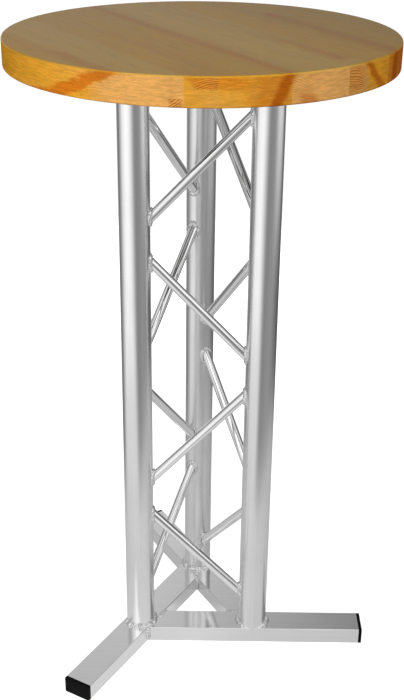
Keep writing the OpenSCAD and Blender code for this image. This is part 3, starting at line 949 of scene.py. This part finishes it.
def streakMask(tree, axes, bend, ripple, streak, look):
    # 1 where |v - (v0 + drift u + slant d) + wobble| < half + growth (u - first) + flare d, between both
    # ends and both depths, with d = z - top
    u, v, z = axes
    wobble = calc(tree, "MULTIPLY_ADD", ripple, look["streakRipple"] * streak["ragged"],
                  calc(tree, "MULTIPLY", bend, look["streakBend"]))
    centre = calc(tree, "MULTIPLY_ADD", u, streak["drift"], streak["v"] - streak["slant"] * topTop)
    centre = calc(tree, "MULTIPLY_ADD", z, streak["slant"], centre)
    away = calc(tree, "ABSOLUTE", calc(tree, "ADD", calc(tree, "SUBTRACT", v, centre), wobble))
    atStart = streak["half"] - streak["growth"] * streak["first"]
    width = calc(tree, "MULTIPLY_ADD", u, streak["growth"], atStart)
    width = calc(tree, "MULTIPLY_ADD", calc(tree, "SUBTRACT", z, topTop), streak["flare"], width)
    excess = calc(tree, "SUBTRACT", away, width)
    # the edge is soft on the upper face and crisp in the end grain of the rim
    low, high = (topTop - depth for depth in look["softDepth"])
    soft = smooth(tree, z, low, high, streak["soft"], streak["soft"] + look["softMore"])
    side = calc(tree, "DIVIDE", excess, calc(tree, "MULTIPLY", soft, 2.0))
    side = calc(tree, "SUBTRACT", 0.5, side, clamp=True)
    first, last, firstFade, lastFade = streak["first"], streak["last"], look["firstFade"], look["lastFade"]
    ends = calc(tree, "MULTIPLY", smooth(tree, u, first - firstFade, first + firstFade),
                smooth(tree, u, last - lastFade, last + lastFade, 1.0, 0.0))
    fade = streak["soft"] * look["depthFadeShare"]
    low, high = topTop - streak["depth"], topTop - streak["above"]
    deep = calc(tree, "MULTIPLY", smooth(tree, z, low - fade, low + fade),
                smooth(tree, z, high - fade, high + fade, 1.0, 0.0))
    return calc(tree, "MULTIPLY", calc(tree, "MULTIPLY", side, ends), deep)


def growthRings(tree, axes, bend, sink, ripple, stave, look):
    # phase = r / ring width + years(r), with r the distance from the pith line, bent by noise, and each
    # ring darkens along its profile
    u, v, z = axes
    pithV, pithDepth = stave["pith"]
    driftV, driftDepth = stave["drift"]
    across = calc(tree, "MULTIPLY_ADD", u, -driftV, calc(tree, "SUBTRACT", v, pithV))
    across = calc(tree, "MULTIPLY_ADD", bend, look["ringBend"], across)
    deep = calc(tree, "MULTIPLY_ADD", u, -driftDepth, calc(tree, "SUBTRACT", z, topTop - pithDepth))
    deep = calc(tree, "MULTIPLY_ADD", sink, look["ringSink"], deep)
    radius = calc(tree, "ADD", calc(tree, "MULTIPLY", across, across), calc(tree, "MULTIPLY", deep, deep))
    radius = calc(tree, "MULTIPLY_ADD", ripple, look["ringRipple"], calc(tree, "SQRT", radius))
    years = addNode(tree, "ShaderNodeTexNoise",
                    {"W": calc(tree, "MULTIPLY", radius, look["yearScale"]), "Scale": 1.0, "Detail": 1.0},
                    noise_dimensions="1D").outputs["Fac"]
    phase = calc(tree, "DIVIDE", radius, look["ringWidth"])
    phase = calc(tree, "MULTIPLY_ADD", years, look["yearShift"], phase)
    ring = ramp(tree, calc(tree, "FRACT", phase), [(at, (level,) * 3) for at, level in look["ringStops"]])
    return calc(tree, "MULTIPLY", ring, calc(tree, "MULTIPLY_ADD", years, *look["yearContrast"]))


def streaked(tree, wood, rings, upper, streak, mask, look):
    # wood + mask strength (tint - wood), the tint darker in the rings, and its own on the upper face
    mask = calc(tree, "MULTIPLY", mask, calc(tree, "MULTIPLY_ADD", upper, streak["face"] - 1, 1.0))
    if streak["lines"]:   # between the rings the wood stays pale
        late = smooth(tree, rings, *look["lineStops"])
        mask = calc(tree, "MULTIPLY", mask, mix(tree, streak["lines"], 1.0, late))
    darkness = calc(tree, "MULTIPLY_ADD", rings, streak["rings"], streak["dark"], clamp=True)
    tint = blendColour(tree, darkness, look["heart"], look["dark"])
    tint = blendColour(tree, upper, tint, look["faceHeart"])
    return blendColour(tree, calc(tree, "MULTIPLY", mask, streak["strength"]), wood, tint)


def pineMaterial(number, stave, look):
    # early wood or gold, rings over it, streaks over those, all shaded by fibre, pores, cloud and flames;
    # u runs along the stave and v across it
    material, tree, output = newMaterial("lacquered pine stave " + str(number))
    place = placed(tree, objectPlace(tree), turn=(0, 0, math.radians(look["turn"])))
    u, v, z = addNode(tree, "ShaderNodeSeparateXYZ", {0: place}).outputs
    own = placed(tree, place, move=tuple(step * number for step in look["ownStep"]))
    bend, sink, ripple = (wander(tree, own, kind, look) for kind in ("bend", "sink", "ripple"))
    cloud, fibre, pores = (woodNoise(tree, own, kind, look) for kind in ("cloud", "fibre", "pores"))
    flame = woodNoise(tree, own, "flame", look, turn=(math.radians(look["flameTurn"]), 0, 0))
    upper = smooth(tree, z, *(topTop - depth for depth in look["faceEdge"]))
    rings = growthRings(tree, (u, v, z), bend, sink, ripple, stave, look)
    shown = mix(tree, upper, stave["rings"], look["faceRings"] * stave["rings"])
    shown = calc(tree, "MULTIPLY", rings, shown, clamp=True)
    if stave["fade"]:
        shown = calc(tree, "MULTIPLY", shown, smooth(tree, v, *stave["fade"], 1.0, look["ringsLeft"]))
    goldShare = calc(tree, "MULTIPLY", smooth(tree, cloud, *look["goldCloud"]), stave["gold"])
    if stave["pale"]:
        pale = smooth(tree, v, *stave["pale"], 1.0, look["goldLeft"])
        goldShare = calc(tree, "MULTIPLY", goldShare, pale)
    wood = blendColour(tree, goldShare, look["early"], look["gold"])
    wood = blendColour(tree, shown, wood, look["late"])
    for streak in stave["streaks"]:
        streak = {**streakDefaults, **streak}
        mask = streakMask(tree, (u, v, z), bend, ripple, streak, look)
        wood = streaked(tree, wood, rings, upper, streak, mask, look)
    pores = smooth(tree, pores, *look["poreStops"])
    tone = smooth(tree, v, *stave["tones"]) if stave["tones"] else stave["tone"]
    tone = calc(tree, "MULTIPLY_ADD", pores, look["poreShade"], mix(tree, upper, tone, stave["faceTone"]))
    shade = calc(tree, "MULTIPLY", smooth(tree, fibre, *look["fibreShade"]), tone)
    shade = calc(tree, "MULTIPLY", shade, smooth(tree, cloud, *look["cloudShade"]))
    shade = calc(tree, "MULTIPLY", shade, mix(tree, upper, smooth(tree, flame, *look["flameShade"]), 1.0))
    wood = addNode(tree, "ShaderNodeVectorMath", {0: wood, "Scale": shade}, operation="SCALE").outputs[0]
    # painted sheen: the upper face takes a tint that stands in for the lacquer's reflection
    wood = blendColour(tree, upper, wood, look["paintedFaceSheen"], "MULTIPLY")
    # painted reflection: glossy rays see the wood as a dull dark colour, standing in for its shade
    path = addNode(tree, "ShaderNodeLightPath").outputs
    wood = blendColour(tree, path["Is Glossy Ray"], wood, look["paintedMirrorShade"])
    height = calc(tree, "ADD", calc(tree, "MULTIPLY", fibre, look["fibreHeight"]),
                  calc(tree, "MULTIPLY", shown, look["ringHeight"]))
    height = calc(tree, "MULTIPLY_ADD", pores, look["poreHeight"], height)
    rough = mix(tree, upper, look["sideRough"], smooth(tree, fibre, *look["rough"]))
    gloss = mix(tree, upper, look["sideGloss"], look["gloss"])
    finishSurface(tree, output, look, height, {"Base Color": wood, "Roughness": rough, "IOR": look["index"],
                                               "Specular IOR Level": gloss})
    return material


for staveNumber, stave in staves.items():
    dressNode("stave_" + str(staveNumber), pineMaterial(staveNumber, {**staveDefaults, **stave}, pineLook))
print("pub table: pine top dressed")
